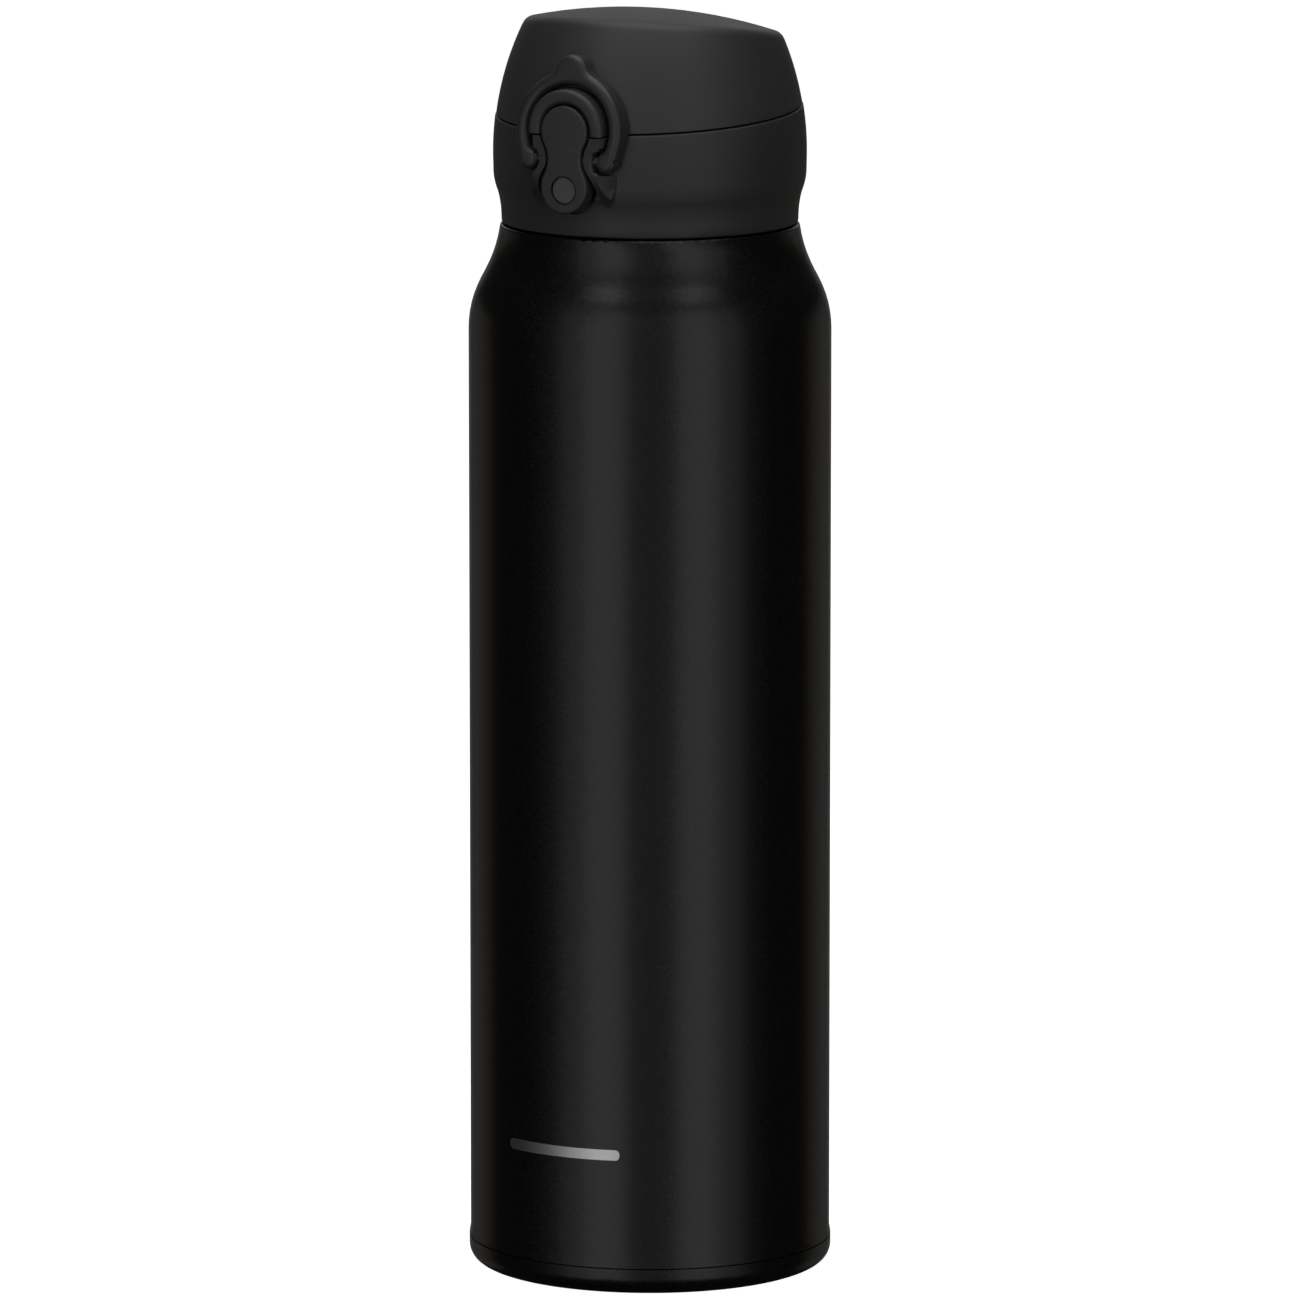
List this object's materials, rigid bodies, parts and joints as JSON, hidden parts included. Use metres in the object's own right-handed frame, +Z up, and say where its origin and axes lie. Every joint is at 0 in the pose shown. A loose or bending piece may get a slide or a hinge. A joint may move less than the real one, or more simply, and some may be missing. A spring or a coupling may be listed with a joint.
{
  "type": "vacuum flask",
  "caption": "Double-walled steel vacuum flask with a screw cap, drinking spout and one-touch flip lid, held shut by a rocking push button and a swinging lock ring.",
  "frame": {"origin": "centre of the flask's resting face", "axes": "+Z up along the flask's axis; -Y towards the push button and lock ring, +Y towards the lid hinge; +X completes the frame"},
  "size_m": [0.0736, 0.0736, 0.2564],
  "materials": {
    "black_steel": "satin black powder paint with fine metallic flake over stainless steel",
    "liner_steel": "electropolished stainless steel",
    "foil": "bright foil",
    "bare_steel": "bare rolled stainless steel",
    "seal_glass": "dark vitreous sealing bead",
    "getter": "pressed grey metal powder",
    "base_plastic": "matt black polypropylene",
    "base_pad": "matt black pad",
    "silicone": "translucent grey silicone rubber",
    "collar_plastic": "dark grey moulded polypropylene, fine matt grain",
    "insert_plastic": "black moulded polypropylene",
    "spout_plastic": "black moulded polypropylene, smooth",
    "pin_steel": "polished stainless steel pin",
    "spring_steel": "stainless spring wire",
    "lid_plastic": "dark grey moulded polypropylene, fine matt grain",
    "ring_plastic": "dark grey acetal",
    "button_plastic": "dark grey moulded plastic",
    "dot_plastic": "light grey moulded plastic"
  },
  "bodies": {
    "bottle": {"outer_shell": "black_steel", "inner_vessel": "liner_steel", "radiation_foil": "foil", "vacuum_end_plate": "bare_steel", "vacuum_seal_bead": "seal_glass", "getter_capsule": "getter", "getter_clip": "bare_steel", "base_cover": "base_plastic", "base_disc": "base_pad"},
    "stopper_seal": {"stopper_gasket": "silicone"},
    "cap": {"collar_shell": "collar_plastic", "thread_insert": "insert_plastic", "spout": "spout_plastic", "hinge_pin": "pin_steel", "lid_spring": "spring_steel", "front_pin": "pin_steel", "button_spring": "spring_steel"},
    "lid": {"lid_shell": "lid_plastic", "lid_inner": "insert_plastic", "lid_gasket": "silicone"},
    "ring": {"lock_ring": "ring_plastic"},
    "button": {"open_button": "button_plastic", "button_dot": "dot_plastic"}
  },
  "joints": [
    {"name": "cap_lift", "type": "slide", "parent": "bottle", "child": "stopper_seal", "axis": [0, 0, 1], "range_m": [0, 0.016]},
    {"name": "cap_turn", "type": "hinge", "parent": "stopper_seal", "child": "cap", "pos_m": [0, 0, 0.2175], "axis": [0, 0, 1], "range_deg": [0, 720]},
    {"name": "lid_hinge", "type": "hinge", "parent": "cap", "child": "lid", "pos_m": [0, 0.0315, 0.237], "axis": [-1, 0, 0], "range_deg": [0, 120], "deforming": ["lid_spring"]},
    {"name": "lock_ring_pivot", "type": "hinge", "parent": "cap", "child": "ring", "pos_m": [0, -0.0326, 0.2285], "axis": [1, 0, 0], "range_deg": [0, 100]},
    {"name": "button_rocker", "type": "hinge", "parent": "cap", "child": "button", "pos_m": [0, -0.0326, 0.2285], "axis": [1, 0, 0], "range_deg": [0, 10], "stiffness_Nm_per_rad": 0.1, "deforming": ["button_spring"]}
  ],
  "couplings": [
    {"joint": "cap_lift", "follows": "cap_turn", "m_per_rad": 0.0012732}
  ]
}
